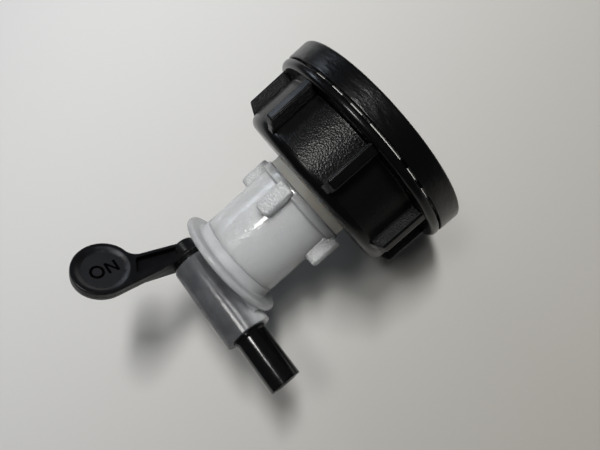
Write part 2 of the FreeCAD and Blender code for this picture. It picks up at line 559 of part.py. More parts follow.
def build_lever():
    lever = new_body("lever", lift=AXIS_HEIGHT, axis=Vector(1, 0, 0), turn="(90 + lever_angle)")
    foot = "(chamber_top + end_gap + thrust_height + 0)"
    crown = "(chamber_top + end_gap + thrust_height + hub_height)"
    pad_centre = "(chamber_top + end_gap + thrust_height + pad_lift)"
    neck_edge = "(chamber_top + end_gap + thrust_height + neck_lift)"
    pad_foot = "(chamber_top + end_gap + thrust_height + pad_lift - pad_radius)"

    disc = new_sketch(lever, "XY", offset="(0 - blade_drop)")
    draw_circle(disc, pad_centre, "pad_reach", "pad_radius")
    halves = {"Length": "blade_thickness / 2", "Length2": "blade_thickness / 2",
              "TaperAngle": "(0 - blade_draft)", "TaperAngle2": "(0 - blade_draft)"}
    add_feature(lever, "Pad", disc, halves, SideType="Two sides")
    arm = new_sketch(lever, "XY", offset="(0 - blade_drop)")
    draw_outline(arm, [
        (foot, "0"), (crown, "0"), (neck_edge, NECK_REACH), (pad_centre, "pad_reach"),
        (pad_foot, "pad_reach"), (foot, "(plug_radius + thrust_width + blade_round)")])
    add_feature(lever, "Pad", arm, halves, SideType="Two sides")
    half = size("blade_thickness") / 2
    middle = size("chamber_top", "end_gap", "thrust_height", "pad_lift")

    def neck(edge):
        ends = [vertex.Point for vertex in edge.Vertexes]
        return len(ends) == 2 and abs(abs(ends[0].z - ends[1].z) - half) < 1e-3 and all(
            end.x > middle - size("pad_radius") / 2 and size("hub_radius") < end.y < size("pad_reach")
            for end in ends)
    dress(lever, "Fillet", edges_where(lever, neck), "neck_blend")

    def outline(edge):
        ends = [vertex.Point for vertex in edge.Vertexes]
        return all(abs(abs(end.z + size("blade_drop")) - half) < 1e-3 for end in ends) and max(
            end.y for end in ends) > size("hub_radius")
    dress(lever, "Fillet", edges_where(lever, outline), "blade_round")

    pocket = new_sketch(lever, "XY", offset=BLADE_FRONT)
    slope = "((neck_lift - hub_height) / (pad_reach - neck_setback))"
    low = "(chamber_top + end_gap + thrust_height + pocket_border)"
    high = "(chamber_top + end_gap + thrust_height + hub_height - pocket_rim + " + slope + " * "
    slanted = "(pad_reach - pocket_setback - pocket_slant)"
    draw_outline(pocket, [
        (low, "pocket_start"), (high + "pocket_start)", "pocket_start"),
        (high + slanted + ")", slanted), (low, POCKET_END)])
    add_feature(lever, "Pocket", pocket, {"Length": "pocket_depth"})

    def pocket_corner(edge):
        ends = [vertex.Point for vertex in edge.Vertexes]
        return len(ends) == 2 and abs(
            abs(ends[0].z - ends[1].z) - size("pocket_depth")) < 1e-3 and all(
            end.y > size("pad_reach") - size("pocket_setback", "pocket_slant") - 0.5
            for end in ends)
    dress(lever, "Fillet", edges_where(lever, pocket_corner), "pocket_round")

    gusset = new_sketch(lever, "YZ", offset=HUB_FOOT)
    back = "(gusset_inset - plug_radius - thrust_width)"
    draw_outline(gusset, [
        ("0", "0"), ("0", back), ("gusset_reach", back),
        ("(pad_reach - gusset_setback)", "(blade_round - blade_drop - blade_thickness / 2)"),
        ("(pad_reach - gusset_setback)", "0")])
    add_feature(lever, "Pad", gusset, {"Length": "gusset_height"})

    cheek = new_sketch(lever, "YZ", offset=HUB_FOOT)
    draw_outline(cheek, [
        ("0", "0"), ("cheek_reach", "0"), ("cheek_reach", BLADE_FRONT), ("0", "hub_radius")])
    add_feature(lever, "Pad", cheek, {"Length": "pocket_border"})

    hub = new_sketch(lever, "YZ", offset=HUB_FOOT)
    draw_circle(hub, "0", "0", "hub_radius")
    add_feature(lever, "Pad", hub, {"Length": "hub_height"})
    dress(lever, "Fillet", rims(lever, size("hub_radius"), "x")[-1:], "hub_round")

    dish = new_sketch(lever, "YZ", offset=pad_centre)
    draw_outline(dish, [
        ("pad_reach", "(blade_thickness / 2 - blade_drop - dish_depth)"),
        ("(pad_reach + " + DISH_RADIUS + " - dish_slope)",
         "(blade_thickness / 2 - blade_drop - dish_depth)"),
        ("(pad_reach + " + DISH_RADIUS + ")", BLADE_FRONT),
        ("(pad_reach + " + DISH_RADIUS + ")", "(blade_thickness)"),
        ("pad_reach", "(blade_thickness)")])
    axis_line = dish.addGeometry(Part.LineSegment(Vector(5, -5, 0), Vector(5, 5, 0)), True)
    pin_point(dish, axis_line, 1, "pad_reach", "(0 - blade_thickness)")
    pin_point(dish, axis_line, 2, "pad_reach", "(0 + blade_thickness)")
    revolve(lever, dish, "Axis0", "Groove")

    socket = new_sketch(lever, "YZ", offset="(chamber_top + end_gap + thrust_height "
                        "+ stub_length + socket_floor)")
    side = "(stub_side / 2 + stub_clearance)"
    draw_rectangle(socket, ("(0 - stub_side / 2 - stub_clearance)",
                            "(0 - stub_side / 2 - stub_clearance)"), (side, side))
    add_feature(lever, "Pocket", socket, {"Length": "(stub_length + socket_floor)"})


def check_and_export():
    """Stops on any failed object or bad shape, then writes one STEP file per sub-part."""
    doc.recompute()
    for item in doc.Objects:
        if "Invalid" in item.State or "Error" in item.State:
            raise RuntimeError("failed object: %s %s" % (item.Name, item.State))
    os.makedirs("parts", exist_ok=True)
    for piece in pieces:
        shape = piece.Shape
        if shape.isNull() or not shape.isValid() or not shape.Solids:
            raise RuntimeError("bad shape: " + piece.Label)
    for piece in pieces:
        shape = piece.Shape
        shape.exportStep(os.path.join("parts", piece.Label + ".step"))
        box = shape.BoundBox
        print("%-16s solids %d volume %9.2f  x %.2f..%.2f y %.2f..%.2f z %.2f..%.2f" % (
            piece.Label, len(shape.Solids), shape.Volume, box.XMin, box.XMax, box.YMin,
            box.YMax, box.ZMin, box.ZMax))


build_cap()
build_tamper_ring()
build_washer("neck_seal", "(cap_height - top_plate - wad_thickness)", "wad_thickness",
             "(thread_bore - wad_clearance)", "(thread_bore - wad_clearance - wad_width)")
build_washer("tap_gasket", "cap_height", "gasket_thickness", "(tap_thread + gasket_width)",
             "(tap_thread + gasket_clearance)", "gasket_edge")
build_barrel()
build_tap_body()
build_plug()
build_seal("upper_o_ring", "upper_seal")
build_seal("lower_o_ring", "(0 - lower_seal)")
build_lever()
check_and_export()
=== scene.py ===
"""Looks of a jerrycan's screw cap with a quarter-turn tap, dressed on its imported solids.

Metres, in the row's frame: the cap's axis is Z from its mouth up to the tap, and the tap's
chamber lies along X with the lever at its +X end and the spout at its -X end.
"""

import bpy
import numpy as np
from mathutils import Matrix, Vector


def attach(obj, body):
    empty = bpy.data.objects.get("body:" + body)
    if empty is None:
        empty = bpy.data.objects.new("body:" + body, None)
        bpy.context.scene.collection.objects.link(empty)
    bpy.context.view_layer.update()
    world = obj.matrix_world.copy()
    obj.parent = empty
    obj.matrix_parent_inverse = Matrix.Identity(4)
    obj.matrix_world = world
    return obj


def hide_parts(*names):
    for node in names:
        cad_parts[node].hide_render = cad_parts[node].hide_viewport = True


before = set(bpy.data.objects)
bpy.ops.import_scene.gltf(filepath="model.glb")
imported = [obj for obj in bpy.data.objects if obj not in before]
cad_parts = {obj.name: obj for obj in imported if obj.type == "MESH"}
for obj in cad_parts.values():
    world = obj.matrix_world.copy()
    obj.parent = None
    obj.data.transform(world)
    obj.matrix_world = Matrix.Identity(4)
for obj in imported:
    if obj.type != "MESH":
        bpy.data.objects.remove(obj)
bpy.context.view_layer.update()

# Cap shell: black polyethylene, injection moulded in one piece, with eight thin grip lugs that
# end in a slope, a round-edged collar at its foot and, inside, the neck's coarse thread and the
# boss that the tap is screwed into. Its panels and the lugs' sides have a fine leather grain.

MM = 0.001
# How far inside a straight run or a flat face, in millimetres, a point keeps its shading flat.
MARGIN = 0.12


def softened(corners, radii, steps=6):
    """Closed outline in which each corner of a polygon is swept by an arc of its radius.

    With a and b the unit vectors from a corner to its neighbours and h half the angle between
    them, the arc starts and ends radius / tan(h) from the corner, its centre lies on the
    bisector radius / sin(h) away, and its points are weighted sines of its two end vectors. A
    point just inside each straight run keeps the shading of the run flat.
    """
    corners = np.asarray(corners, float)
    radii = np.asarray(radii, float)[:, None]
    to_last = np.roll(corners, 1, 0) - corners
    to_next = np.roll(corners, -1, 0) - corners
    last_length = np.linalg.norm(to_last, axis=1, keepdims=True)
    next_length = np.linalg.norm(to_next, axis=1, keepdims=True)
    a = to_last / last_length
    b = to_next / next_length
    half = np.arccos(np.clip((a * b).sum(1, keepdims=True), -0.9999999, 0.9999999)) / 2
    reach = radii / np.tan(half)
    bisector = (a + b) / np.linalg.norm(a + b, axis=1, keepdims=True)
    centre = corners + bisector * radii / np.sin(half)
    start = corners + a * reach - centre
    end = corners + b * reach - centre
    turn = np.pi - 2 * half
    share = np.linspace(0, 1, steps + 1)[None, :, None]
    arc = (np.sin((1 - share) * turn[:, None]) * start[:, None]
           + np.sin(share * turn[:, None]) * end[:, None]) / np.sin(turn)[:, None]
    arc = arc + centre[:, None]
    before = corners + a * (reach + np.minimum(MARGIN, (last_length - reach) * 0.2))
    after = corners + b * (reach + np.minimum(MARGIN, (next_length - reach) * 0.2))
    return np.concatenate([before[:, None], arc, after[:, None]], 1).reshape(-1, 2)


def quads(rows, columns, closed_rows=True):
    """Corner numbers of the quads between neighbouring rows and columns of a grid of points."""
    row = np.arange(rows if closed_rows else rows - 1)[:, None]
    column = np.arange(columns)[None, :]
    below = (row + 1) % rows
    right = (column + 1) % columns
    faces = np.stack([row * columns + column, row * columns + right,
                      below * columns + right, below * columns + column], -1)
    return faces.reshape(-1, 4)


def spun(outline, turns, wave=None):
    """A closed outline of (radius, height) swept about Z.

    Point (i, j) is (r cos t, r sin t, z) with r and z the outline's i-th point and t the j-th
    of equal angles. A wave of angle, radius and height gives what is added to the radius.
    """
    angle = np.linspace(0, 2 * np.pi, turns, endpoint=False)[None, :]
    radius = outline[:, 0][:, None] + 0 * angle
    height = outline[:, 1][:, None] + 0 * angle
    if wave is not None:
        radius = radius + wave(angle, radius, height)
    points = np.stack([radius * np.cos(angle), radius * np.sin(angle), height], -1)
    return points.reshape(-1, 3), [quads(len(outline), turns)]


def slab(outline, half, round_edge, steps=5):
    """An outline carried across a thickness, half to each side, with rounded rims.

    At a height w from the middle the outline is drawn in along its normals by
    e - sqrt(e^2 - s^2), where e is the rim's rounding and s how far w is into it. The last
    outlines are drawn in a little more at the same height and closed by flat faces.
    """
    ahead = np.roll(outline, -1, 0) - outline
    behind = outline - np.roll(outline, 1, 0)
    ahead = ahead / np.maximum(np.linalg.norm(ahead, axis=1, keepdims=True), 1e-9)
    behind = behind / np.maximum(np.linalg.norm(behind, axis=1, keepdims=True), 1e-9)
    along = ahead + behind
    along = along / np.linalg.norm(along, axis=1, keepdims=True)
    area = np.sum(outline[:, 0] * np.roll(outline[:, 1], -1)
                  - outline[:, 1] * np.roll(outline[:, 0], -1))
    inward = np.sign(area) * np.stack([-along[:, 1], along[:, 0]], -1)
    bend = np.sin(np.linspace(0, np.pi / 2, steps + 1))
    flank = half - round_edge
    up = np.concatenate([[0.0, flank * 0.9], flank + round_edge * bend])
    height = np.concatenate([-up[:0:-1], up])
    into = np.maximum(np.abs(height) - flank, 0)
    drawn = round_edge - np.sqrt(np.maximum(round_edge ** 2 - into ** 2, 0))
    height = np.concatenate([height[:1], height, height[-1:]])
    drawn = np.concatenate([drawn[:1] + MARGIN, drawn, drawn[-1:] + MARGIN])
    flat = outline[None] + inward[None] * drawn[:, None, None]
    points = np.concatenate([flat, height[:, None, None] + 0 * flat[..., :1]], -1)
    count = len(outline)
    first = np.arange(count)[None, ::-1]
    last = np.arange(count)[None, :] + (len(height) - 1) * count
    return points.reshape(-1, 3), [quads(len(height), count, closed_rows=False), first, last]


def with_rows(outline, radius, ends, between, count):
    """The outline with many rows on its straight run at a radius, enough to carry a thread.

    Its points nearest to the two heights of ends stay, and what lies between them gives way to
    count evenly spaced rows from one height of between to the other.
    """
    first, last = (np.argmin(np.abs(outline[:, 0] - radius) + np.abs(outline[:, 1] - height))
                   for height in ends)
    rows = np.stack([np.full(count, radius), np.linspace(*between, count)], -1)
    return np.concatenate([outline[:first + 1], rows, outline[last:]])


def placed(part, matrix, shift=(0, 0, 0)):
    """The same part with its points turned by a 3 by 3 matrix and then moved."""
    points, faces = part
    return points @ np.asarray(matrix, float).T + np.asarray(shift, float), faces


def round_z(degrees):
    """The 3 by 3 matrix that turns points about Z."""
    angle = np.radians(degrees)
    return np.array([[np.cos(angle), -np.sin(angle), 0], [np.sin(angle), np.cos(angle), 0],
                     [0, 0, 1]])


def signed_volume(points, faces):
    """Sum over all fans of triangles of a . (b x c) / 6: negative where faces point inwards."""
    total = 0.0
    for group in faces:
        fan = points[group]
        total += np.einsum("fk,fvk->", fan[:, 0], np.cross(fan[:, 1:-1], fan[:, 2:])) / 6
    return total


def piece(name, parts, smooth=50):
    """One object made of closed parts in millimetres, with its faces outwards.

    It is shaded smooth, apart from edges that bend by more than smooth degrees.
    """
    points, polygons, offset = [], [], 0
    for part_points, part_faces in parts:
        if signed_volume(part_points, part_faces) < 0:
            part_faces = [group[:, ::-1] for group in part_faces]
        points.append(part_points)
        for group in part_faces:
            polygons.extend((group + offset).tolist())
        offset += len(part_points)
    mesh = bpy.data.meshes.new(name)
    mesh.from_pydata(np.concatenate(points) * MM, [], polygons)
    mesh.polygons.foreach_set("use_smooth", np.ones(len(mesh.polygons), bool))
    mesh.update()
    mesh.set_sharp_from_angle(angle=np.radians(smooth))
    made = bpy.data.objects.new(name, mesh)
    bpy.context.scene.collection.objects.link(made)
    return made


def flattened(made):
    """Shades flat faces flat up to their rounded edges, by weighting normals with face areas."""
    weights = made.modifiers.new("flat_faces", "WEIGHTED_NORMAL")
    weights.keep_sharp = True
    return made


class Wire:
    """One number that runs through a material's nodes; arithmetic on it adds Math nodes."""

    def __init__(self, paint, socket):
        self.paint = paint
        self.socket = socket

    def maths(self, operation, first, second):
        return self.paint.add("ShaderNodeMath", {"operation": operation}, {0: first, 1: second})

    def __add__(self, other):
        return self.maths("ADD", self, other)

    def __mul__(self, other):
        return self.maths("MULTIPLY", self, other)

    def __sub__(self, other):
        return self.maths("SUBTRACT", self, other)

    def __rsub__(self, other):
        return self.maths("SUBTRACT", other, self)

    __radd__ = __add__
    __rmul__ = __mul__

    def step(self, low, high):
        """0 below low, 1 above high and a smooth rise between them."""
        return self.paint.add("ShaderNodeMapRange", {"interpolation_type": "SMOOTHSTEP"},
                              {"Value": self, "From Min": low, "From Max": high})


class Paint:
    """A material under construction: its nodes are added by one method."""

    def __init__(self, name):
        self.material = bpy.data.materials.new(name)
        self.material.use_nodes = True
        self.tree = self.material.node_tree
        self.tree.nodes.clear()
        self.place = self.add("ShaderNodeTexCoord", out="Object")

    def add(self, kind, settings=None, sockets=None, out=0):
        """Adds a node, sets its settings, then its sockets' values or wires; gives one output."""
        node = self.tree.nodes.new(kind)
        for name, value in (settings or {}).items():
            setattr(node, name, value)
        for name, value in (sockets or {}).items():
            if isinstance(value, Wire):
                self.tree.links.new(value.socket, node.inputs[name])
            else:
                node.inputs[name].default_value = value
        return Wire(self, node.outputs[out])

    def noise(self, scale, detail=3.0, roughness=0.5, place=None):
        """Fractal noise from 0 to 1 with a feature size of about 1 / scale metres."""
        return self.add("ShaderNodeTexNoise", {"noise_dimensions": "3D"},
                        {"Vector": place or self.place, "Scale": scale, "Detail": detail,
                         "Roughness": roughness}, out="Fac")

    def stretched(self, scale):
        """The object's coordinates with each axis multiplied."""
        return self.add("ShaderNodeMapping", {}, {"Vector": self.place, "Scale": scale})

    def axes(self):
        """The object's x, y and z, in metres."""
        parts = self.add("ShaderNodeSeparateXYZ", {}, {"Vector": self.place})
        outputs = parts.socket.node.outputs
        return Wire(self, outputs[0]), Wire(self, outputs[1]), Wire(self, outputs[2])

    def radius(self):
        """The distance from the cap's axis, in metres."""
        flat = self.add("ShaderNodeVectorMath", {"operation": "MULTIPLY"},
                        {0: self.place, 1: (1, 1, 0)})
        return self.add("ShaderNodeVectorMath", {"operation": "LENGTH"}, {0: flat}, out="Value")

    def tint(self, share, low, high):
        """A colour that goes from low to high as share goes from 0 to 1."""
        return self.add("ShaderNodeMix", {"data_type": "RGBA"},
                        {0: share, 6: low, 7: high}, out=2)

    def relief(self, height, depth, under=None):
        """Surface normals of a relief whose full height is depth metres."""
        sockets = {"Height": height, "Distance": depth, "Strength": 1.0}
        if under is not None:
            sockets["Normal"] = under
        return self.add("ShaderNodeBump", {}, sockets)

    def coat(self, **sockets):
        """The finish itself, a Principled shader; sockets are given with _ for a space."""
        return self.add("ShaderNodeBsdfPrincipled", {}, {
            name.replace("_", " "): value for name, value in sockets.items()})

    def done(self, shader):
        """Ends the tree in the material's output and gives the material."""
        end = self.tree.nodes.new("ShaderNodeOutputMaterial")
        self.tree.links.new(shader.socket, end.inputs["Surface"])
        return self.material


# Millimetres: the bore for the jerrycan's neck, its thread's pitch and the height of the ridge.
BORE = 30.6
NECK_PITCH = 4.0
NECK_RIDGE = 1.1
cap_section = [(34.5, 8.4), (40.0, 8.4), (40.0, 11.4), (33.6, 11.4), (33.6, 32.2), (13.2, 32.2),
               (13.2, 17.6), (17.4, 17.6), (17.4, 29.6), (BORE, 29.6), (BORE, 13.0), (34.5, 9.2)]
cap_rounding = [0.3, 0.9, 1.6, 0.7, 3.6, 0.3, 0.3, 0.5, 0.8, 0.5, 1.0, 0.3]
cap_rows = with_rows(softened(cap_section, cap_rounding, steps=8), BORE, (28.9, 13.6),
                     (28.8, 13.9), 110)


def neck_thread(angle, radius, height):
    """A rounded ridge that climbs its pitch in a turn, only on the bore's wall."""
    phase = (height - NECK_PITCH * angle / (2 * np.pi)) / NECK_PITCH
    ridge = np.clip(np.cos(2 * np.pi * phase) * 1.6 - 0.2, 0, 1)
    ends = np.clip((height - 14.2) / 1.5, 0, 1) * np.clip((27.2 - height) / 1.0, 0, 1)
    on_wall = np.abs(radius - BORE) < 0.001
    return -NECK_RIDGE * ridge * ends * on_wall


cap_parts = [spun(cap_rows, 320, neck_thread)]
lug_side = softened([(31.2, 10.0), (38.2, 10.0), (38.2, 27.3), (31.2, 30.8)], [1.0] * 4)
lug = slab(lug_side, 1.95, 0.8)
stand_up = np.array([[1, 0, 0], [0, 0, -1], [0, 1, 0]])
cap_parts += [placed(lug, round_z(22.5 + 45 * turn) @ stand_up) for turn in range(8)]
cap_shell = flattened(piece("cap_shell_moulding", cap_parts))

paint = Paint("black_grained_polyethylene")
z = paint.axes()[2]
radius = paint.radius()
panels = radius.step(0.0325, 0.0328) * (1 - radius.step(0.03765, 0.0378))
panels = panels * z.step(0.0116, 0.0119) * (1 - z.step(0.0283, 0.0288))
sides = panels * radius.step(0.0340, 0.0343)
cells = paint.add("ShaderNodeTexVoronoi", {"feature": "SMOOTH_F1"},
                  {"Vector": paint.place, "Scale": 1750.0, "Smoothness": 0.3}, out="Distance")
grain = cells * 0.8 + paint.noise(2800.0, 2.0) * 0.3
flow = paint.noise(90.0, 2.0)
worn = paint.noise(420.0, 5.0, 0.65)
normal = paint.relief(grain * (panels * 0.3 + sides * 0.7), 0.00034, paint.relief(flow, 0.00008))
shine = 0.20 + panels * 0.07 + sides * 0.09 + worn * 0.06
# The lugs' sides are tinted lighter in the grain's cells: partly the grain's own tone, partly a
# painted glitter.
tone = paint.tint(worn * 0.1 + panels * 0.05 + sides * cells * 0.95, (0.0009, 0.0009, 0.0010, 1),
                  (0.0180, 0.0180, 0.0185, 1))
cap_shell.data.materials.append(paint.done(paint.coat(
    Base_Color=tone, Roughness=shine, Normal=normal, Specular_IOR_Level=0.35)))
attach(cap_shell, "cap")
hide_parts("cap_shell")

# Tamper ring: smooth, glossy black polyethylene, moulded with the cap and hung under its collar
# on thin bridges that snap when the cap is first opened. One bridge is gone already.

BRIDGE_PLACES = 29
ring_section = [(37.4, 0), (40.0, 0), (40.0, 7.8), (37.4, 7.8), (37.4, 4.5), (35.9, 3.0)]
ring_rounding = [0.3, 0.8, 0.5, 0.2, 0.4, 0.6]
ring_parts = [spun(softened(ring_section, ring_rounding, steps=7), 288)]
foot = softened([(37.5, -1.7), (38.4, -1.7), (38.4, 1.7), (37.5, 1.7)], [0.25] * 4, steps=3)
bridge = placed(slab(foot, 0.7, 0.05, steps=1), np.eye(3), (0, 0, 7.9))
ring_parts += [placed(bridge, round_z(-101.3 + 360 / BRIDGE_PLACES * turn))
               for turn in range(BRIDGE_PLACES - 1)]
tamper_ring = piece("tamper_ring_moulding", ring_parts)

paint = Paint("black_glossy_polyethylene")
flow = paint.noise(60.0, 2.0, place=paint.stretched((1, 1, 3)))
pits = paint.noise(1500.0, 3.0, 0.6)
scuffs = paint.noise(300.0, 6.0, 0.75).step(0.62, 0.75)
drag = paint.noise(420.0, 4.0, 0.65, place=paint.stretched((0.5, 0.5, 1.6)))
tamper_ring.data.materials.append(paint.done(paint.coat(
    Base_Color=paint.tint(scuffs, (0.0010, 0.0010, 0.0012, 1), (0.006, 0.006, 0.007, 1)),
    Roughness=0.26 + scuffs * 0.10 + pits * 0.06,
    Normal=paint.relief(drag, 0.00016, paint.relief(flow, 0.00036)), IOR=1.5)))
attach(tamper_ring, "cap")
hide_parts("tamper_ring")

# Neck seal: a flat ring punched from white foamed polyethylene sheet, pressed into the top of
# the cap, where the end of the jerrycan's neck bites into it.

seal_rows = softened([(21.0, 27.4), (30.3, 27.4), (30.3, 29.6), (21.0, 29.6)], [0.25] * 4)
neck_seal = piece("neck_seal_wad", [spun(seal_rows, 160)])
paint = Paint("white_foam_wad")
bubbles = paint.add("ShaderNodeTexVoronoi", {"feature": "F1"},
                    {"Vector": paint.place, "Scale": 2200.0}, out="Distance")
pressed = paint.radius().step(0.0262, 0.0266) * (1 - paint.radius().step(0.0294, 0.0298))
neck_seal.data.materials.append(paint.done(paint.coat(
    Base_Color=paint.tint(bubbles, (0.60, 0.59, 0.55, 1), (0.74, 0.73, 0.69, 1)),
    Roughness=0.70 - pressed * 0.15,
    Normal=paint.relief(bubbles * 0.4 - pressed, 0.00015))))
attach(neck_seal, "cap")
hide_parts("neck_seal")

# Tap gasket: a cream elastomer washer squeezed between the cap's top and the barrel's ring.

gasket_rows = softened([(13.4, 32.2), (17.5, 32.2), (17.5, 35.7), (13.4, 35.7)], [0.3] * 4)
tap_gasket = piece("tap_gasket_washer", [spun(gasket_rows, 160)])
paint = Paint("cream_elastomer")
cloud = paint.noise(220.0, 4.0)
skin = paint.noise(1800.0, 3.0)
tap_gasket.data.materials.append(paint.done(paint.coat(
    Base_Color=paint.tint(cloud, (0.80, 0.76, 0.66, 1), (0.88, 0.85, 0.76, 1)),
    Roughness=0.48 + skin * 0.12, Normal=paint.relief(skin, 0.00003),
    Subsurface_Weight=0.4, Subsurface_Radius=(0.003, 0.0024, 0.0016), Subsurface_Scale=1.0)))
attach(tap_gasket, "cap")
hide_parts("tap_gasket")

# Barrel: milky low-density polyethylene, moulded as one tube with a ring and four grained finger
# tabs at its rear end, and behind them the G 3/4 thread that screws into the cap's boss.

# Millimetres: the threaded tail's radius, its thread's pitch and the depth of the groove.
TAIL = 13.1
TAIL_PITCH = 1.814
TAIL_GROOVE = 0.9
barrel_section = [(10.5, 18.1), (TAIL, 18.1), (TAIL, 35.7), (18.4, 35.7), (18.4, 39.0),
                  (16.9, 39.0), (16.9, 66.4), (14.5, 66.4), (14.5, 39.0), (10.5, 36.6)]
barrel_rounding = [0.4, 0.3, 0.3, 0.7, 0.7, 0.7, 0.12, 0.3, 1.2, 1.2]
barrel_rows = with_rows(softened(barrel_section, barrel_rounding, steps=7), TAIL, (18.5, 35.3),
                        (18.6, 35.2), 150)


def tail_thread(angle, radius, height):
    """Grooves that climb their pitch in a turn, fading before the ring."""
    phase = (height - TAIL_PITCH * angle / (2 * np.pi)) / TAIL_PITCH
    groove = 0.5 - 0.5 * np.cos(2 * np.pi * phase)
    ends = np.clip((height - 18.7) / 0.8, 0, 1) * np.clip((33.6 - height) / 1.2, 0, 1)
    return -TAIL_GROOVE * groove * ends * (np.abs(radius - TAIL) < 0.001)


barrel_parts = [spun(barrel_rows, 224, tail_thread)]
tab_outline = softened([(-2.9, 36.9), (2.9, 36.9), (2.9, 49.0), (-2.9, 49.0)],
                       [1.2, 1.2, 1.9, 1.9], steps=8)
tab = placed(slab(tab_outline, 2.9, 0.9, steps=6), [[0, 0, 1], [1, 0, 0], [0, 1, 0]],
             (18.3, 0, 0))
barrel_parts += [placed(tab, round_z(90 * turn)) for turn in range(4)]
barrel = flattened(piece("barrel_moulding", barrel_parts))

paint = Paint("milky_polyethylene")
z = paint.axes()[2]
radius = paint.radius()
cloud = paint.noise(120.0, 4.0, 0.55)
off_tab_ends = 1 - radius.step(0.0185, 0.0187)
off_tab_sides = 1 - radius.step(0.0171, 0.0173) * z.step(0.0390, 0.0394)
on_tabs = 1 - off_tab_ends * off_tab_sides
cells = paint.add("ShaderNodeTexVoronoi", {"feature": "SMOOTH_F1"},
                  {"Vector": paint.place, "Scale": 1500.0, "Smoothness": 0.4}, out="Distance")
nicks = paint.noise(900.0, 3.0, 0.6).step(0.52, 0.78)
drawn = paint.noise(260.0, 3.0, 0.6, place=paint.stretched((1, 1, 0.35)))
ripple = paint.noise(110.0, 2.0)
normal = paint.relief(cells * on_tabs, 0.00034, paint.relief(
    nicks, 0.00006, paint.relief(drawn, 0.00012, paint.relief(ripple, 0.00016))))
milky = paint.coat(
    Base_Color=paint.tint(cloud, (0.66, 0.68, 0.70, 1), (0.74, 0.76, 0.775, 1)),
    Roughness=0.11 + on_tabs * 0.38 + nicks * 0.08, Normal=normal, IOR=1.5,
    Subsurface_Weight=0.85, Subsurface_Radius=(0.009, 0.009, 0.0095), Subsurface_Scale=1.0)
clear = paint.coat(Base_Color=(0.93, 0.935, 0.94, 1), Roughness=0.16, Normal=normal, IOR=1.45,
                   Transmission_Weight=1.0)
barrel.data.materials.append(paint.done(paint.add(
    "ShaderNodeMixShader", {}, {0: 0.34 + cloud * 0.16, 1: milky, 2: clear})))
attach(barrel, "cap")
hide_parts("barrel")

# Tap body: natural polypropylene, clearer than the barrel, so the black plug greys its chamber.
# Its spigot is pressed into the barrel; flange, web and chamber are one moulding with it.

# The chamber's axis above the cap's mouth, in millimetres, and the angle in degrees from which an
# edge of a piece taken from its solid is drawn sharp.
AXIS = 81.9
SHARP = 32


def from_solid(node):
    """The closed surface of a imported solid, as a part in millimetres.

    The solid's mesh is loose triangles, so corners that agree to a micron become one corner, and
    triangles that close up to a line are left out.
    """
    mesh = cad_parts[node].data
    points = np.empty(len(mesh.vertices) * 3)
    mesh.vertices.foreach_get("co", points)
    points = points.reshape(-1, 3)
    corners = np.empty(len(mesh.loops), int)
    mesh.loops.foreach_get("vertex_index", corners)
    first, index = np.unique(np.round(points / 1e-6), axis=0, return_index=True,
                             return_inverse=True)[1:]
    faces = index.reshape(-1)[corners].reshape(-1, 3)
    open_faces = (faces != np.roll(faces, 1, 1)).all(1)
    return points[first] / MM, [faces[open_faces]]


tap_body = flattened(piece("tap_body_moulding", [from_solid("tap_body")], SHARP))
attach(tap_body, "cap")
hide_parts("tap_body")

paint = Paint("natural_polypropylene")
z = paint.axes()[2]
cloud = paint.noise(150.0, 4.0, 0.6)
ripple = paint.noise(240.0, 3.0)
fine = paint.noise(900.0, 3.0, 0.6, place=paint.stretched((0.5, 1, 1)))
normal = paint.relief(fine, 0.000012, paint.relief(ripple, 0.00008))
over_plug = z.step(0.0735, 0.0785)
rim = paint.radius().step(0.0172, 0.0185) * (1 - z.step(0.0722, 0.0735))
# Painted shade: over the plug the haze's colour runs to near-black, standing in for the black
# plug seen through the wall.
tone = paint.tint(over_plug * 0.8 + cloud * 0.2, (0.64, 0.655, 0.67, 1), (0.036, 0.038, 0.044, 1))
haze = paint.coat(Base_Color=tone, Roughness=0.12 + fine * 0.08, Normal=normal, IOR=1.49,
                  Subsurface_Weight=0.8, Subsurface_Radius=(0.006, 0.006, 0.006),
                  Subsurface_Scale=1.0, Specular_IOR_Level=0.22)
clear = paint.coat(Base_Color=(0.74, 0.75, 0.78, 1), Roughness=0.24, Normal=normal, IOR=1.40,
                   Transmission_Weight=1.0, Specular_IOR_Level=0.05)
share = 0.20 + over_plug * 0.04 + rim * 0.25 + cloud * 0.16
tap_body.data.materials.append(paint.done(paint.add(
    "ShaderNodeMixShader", {}, {0: share, 1: haze, 2: clear})))

# Plug: polished black polypropylene tube, turned by the lever; its open end is the spout. A
# collar runs on the chamber's rim and a bead snaps past its lower end.

plug = flattened(piece("plug_tube", [from_solid("plug")], SHARP))
paint = Paint("black_polished_polypropylene")
smear = paint.noise(260.0, 5.0, 0.7)
drawn = paint.noise(1200.0, 3.0, 0.6, place=paint.stretched((0.15, 1, 1)))
plug.data.materials.append(paint.done(paint.coat(
    Base_Color=paint.tint(smear, (0.0012, 0.0012, 0.0014, 1), (0.004, 0.004, 0.0045, 1)),
    Roughness=0.14 + smear.step(0.5, 0.8) * 0.08, Normal=paint.relief(drawn, 0.00002),
    IOR=1.5)))
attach(plug, "spout_plug")
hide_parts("plug")

# O-rings: two black nitrile rings in the plug's grooves, above and below its port.

